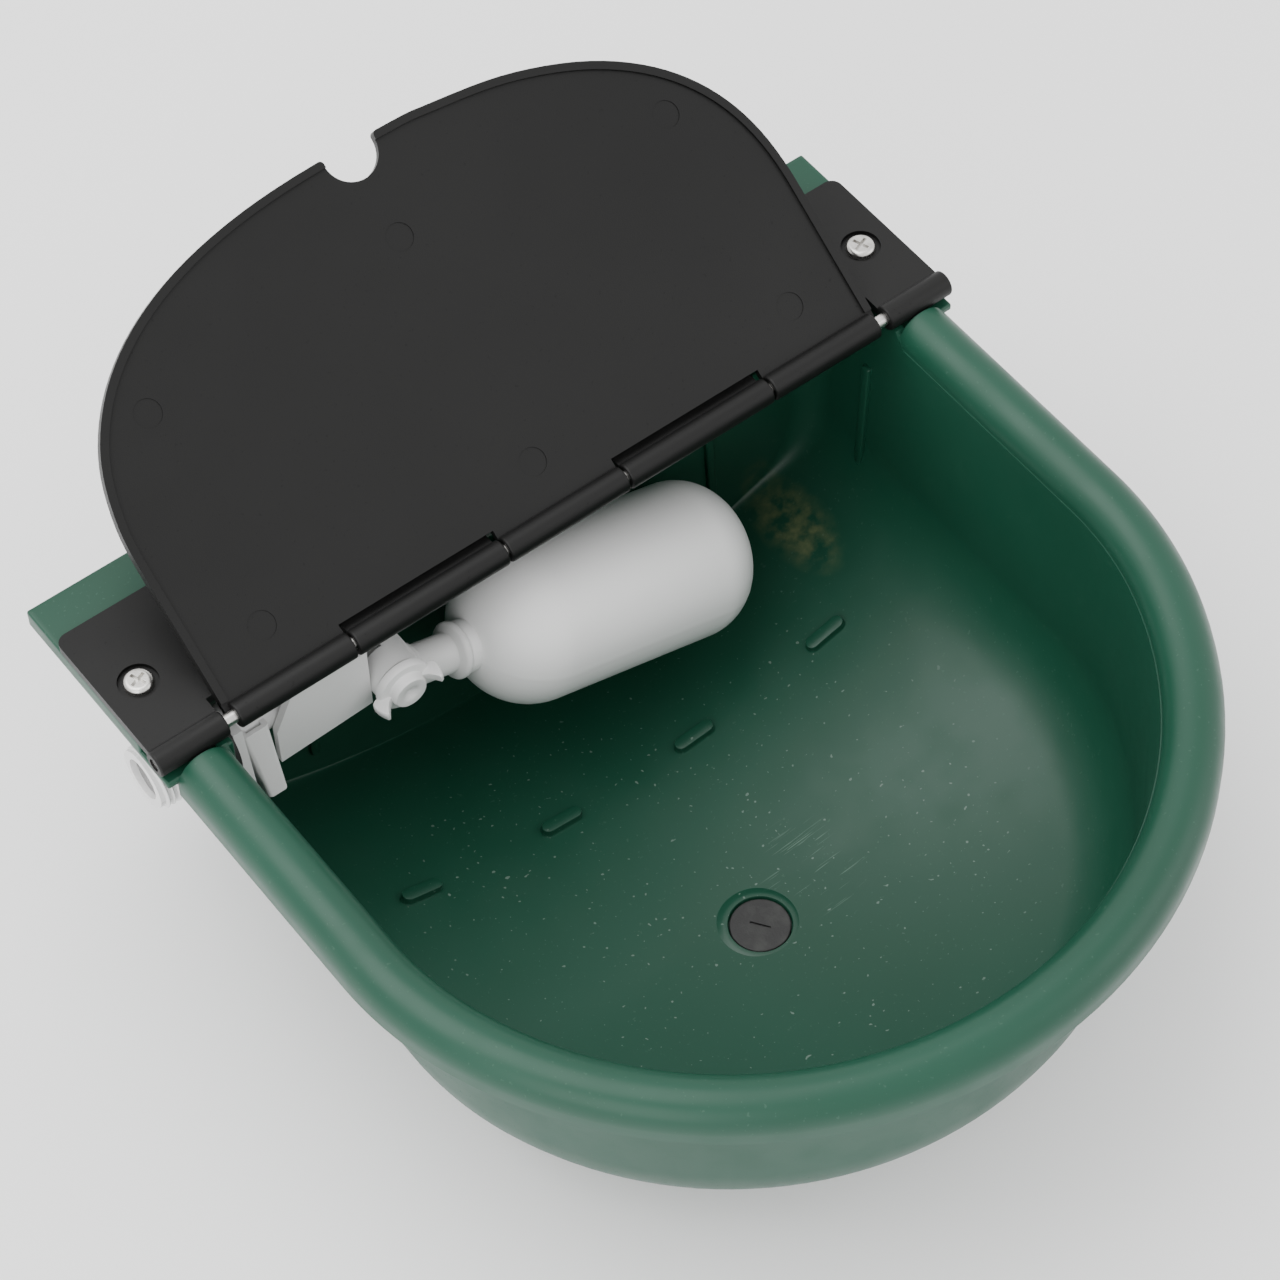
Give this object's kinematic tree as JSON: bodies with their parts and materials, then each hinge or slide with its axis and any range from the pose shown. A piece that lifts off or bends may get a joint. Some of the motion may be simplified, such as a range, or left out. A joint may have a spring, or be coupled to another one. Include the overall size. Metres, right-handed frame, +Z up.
{
  "type": "livestock water trough",
  "caption": "Wall-hung moulded drinking bowl for animals, kept full by a side-entry float valve under a hinged cover, with a rubber drain plug.",
  "frame": {"origin": "centre of the bowl's flat round foot, on its underside", "axes": "+X along the hinge, +Y towards the wall that it hangs on, +Z up"},
  "size_m": [0.28, 0.3138, 0.1867],
  "materials": {
    "moulded_green": "satin gloss, injection moulded",
    "cover_black": "satin, fine speckle",
    "valve_white": "satin white moulding",
    "float_white": "smooth blow moulding",
    "stainless": "bright drawn",
    "rubber_black": "dull"
  },
  "bodies": {
    "trough": {"trough_shell": "moulded_green", "hinge_plate": "cover_black", "hinge_pin": "stainless", "plate_screws": "stainless", "valve_body": "valve_white", "inlet_gasket": "rubber_black", "inlet_locknut": "valve_white", "nozzle_insert": "valve_white"},
    "cover": {"cover": "cover_black"},
    "lever": {"float_lever": "valve_white", "lever_pin": "stainless", "pin_clip": "stainless", "clamp_nut": "valve_white"},
    "valve_piston": {"piston": "valve_white", "piston_seal": "rubber_black"},
    "float_arm": {"arm_elbow": "valve_white", "float_stem": "valve_white", "float_bottle": "float_white"},
    "wing": {"wing_screw": "valve_white"},
    "plug": {"drain_plug": "rubber_black"}
  },
  "joints": [
    {"name": "cover_hinge", "type": "hinge", "parent": "trough", "child": "cover", "pos_m": [0, 0.06, 0.117], "axis": [1, 0, 0], "range_deg": [0, 145]},
    {"name": "lever_pivot", "type": "hinge", "parent": "trough", "child": "lever", "pos_m": [-0.092, 0.0705, 0.085], "axis": [0, -1, 0], "range_deg": [0, 7]},
    {"name": "piston_slide", "type": "slide", "parent": "trough", "child": "valve_piston", "axis": [-1, 0, 0], "range_m": [0, 0.00154]},
    {"name": "elbow_pivot", "type": "hinge", "parent": "lever", "child": "float_arm", "pos_m": [-0.061, 0.0705, 0.0905], "axis": [0, -1, 0], "range_deg": [-1, 6]},
    {"name": "wing_turn", "type": "hinge", "parent": "lever", "child": "wing", "pos_m": [-0.061, 0.0705, 0.0905], "axis": [0, -1, 0], "range_deg": [0, 180]},
    {"name": "plug_lift", "type": "slide", "parent": "trough", "child": "plug", "axis": [0, 0, 1], "range_m": [0, 0.025]}
  ],
  "couplings": [
    {"joint": "piston_slide", "follows": "lever_pivot", "m_per_rad": 0.0125}
  ]
}
